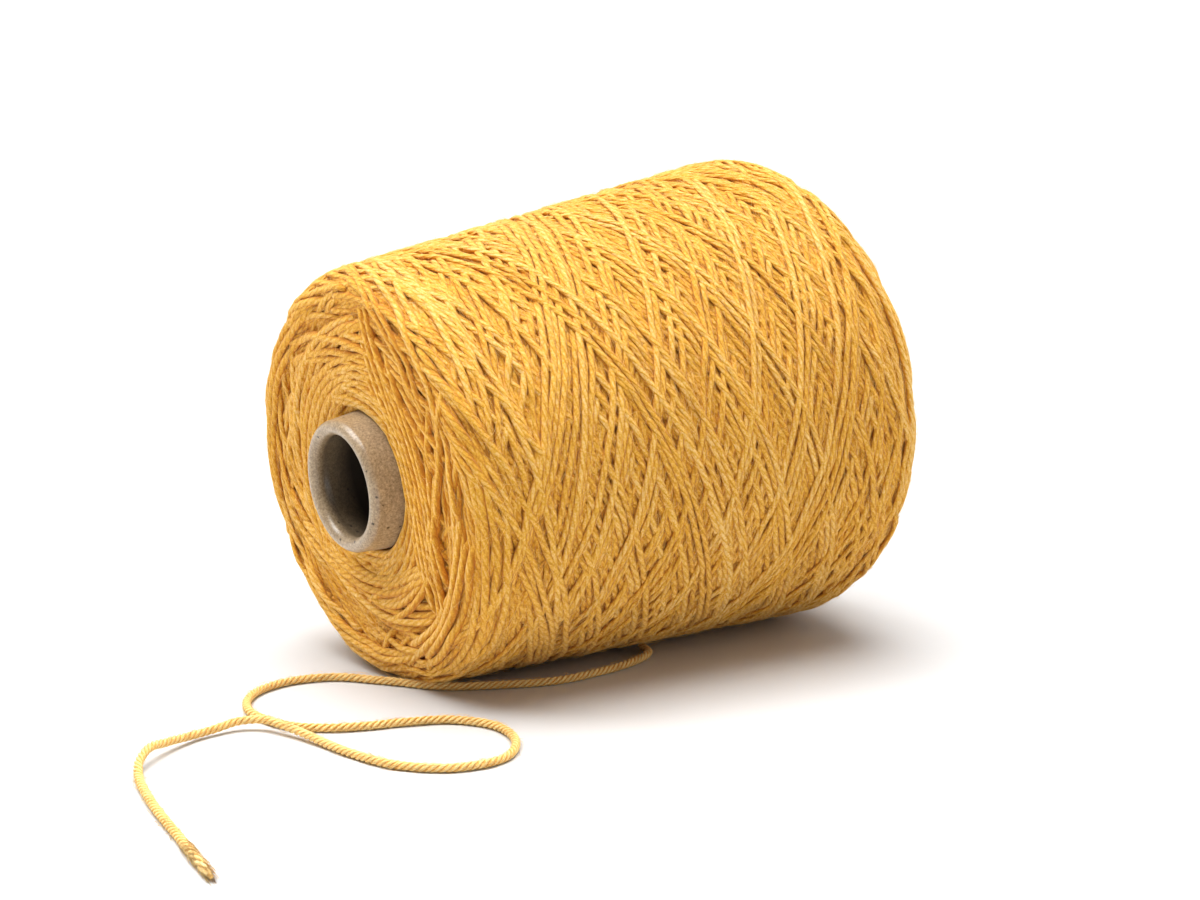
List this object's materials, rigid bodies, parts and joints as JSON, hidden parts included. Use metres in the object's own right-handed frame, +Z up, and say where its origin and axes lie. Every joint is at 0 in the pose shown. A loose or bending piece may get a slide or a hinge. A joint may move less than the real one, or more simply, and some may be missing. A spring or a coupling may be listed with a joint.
{
  "type": "cone of yarn",
  "caption": "Cross-wound cone of mustard wool yarn on a tapered paper tube, lying on its flank, with its loose end trailing in a loop on the table.",
  "frame": {"origin": "on the table under the cone: the middle of the bounding box of core and wound yarn, at its base", "axes": "+X along the cone towards its big end, -Y to the side where the loose end lies, +Z up; the cone's own axis rises 5.56 degrees towards +X because the tapered flank lies flat"},
  "size_m": [0.2653, 0.1755, 0.1369],
  "materials": {
    "paper": "greige pressed paper, speckled, with a burnished rolled lip",
    "yarn": "matt mustard wool, plied, slightly hairy"
  },
  "bodies": {
    "root": {"core": "paper", "wound_yarn": "yarn", "yarn_tail": "yarn"}
  },
  "joints": []
}
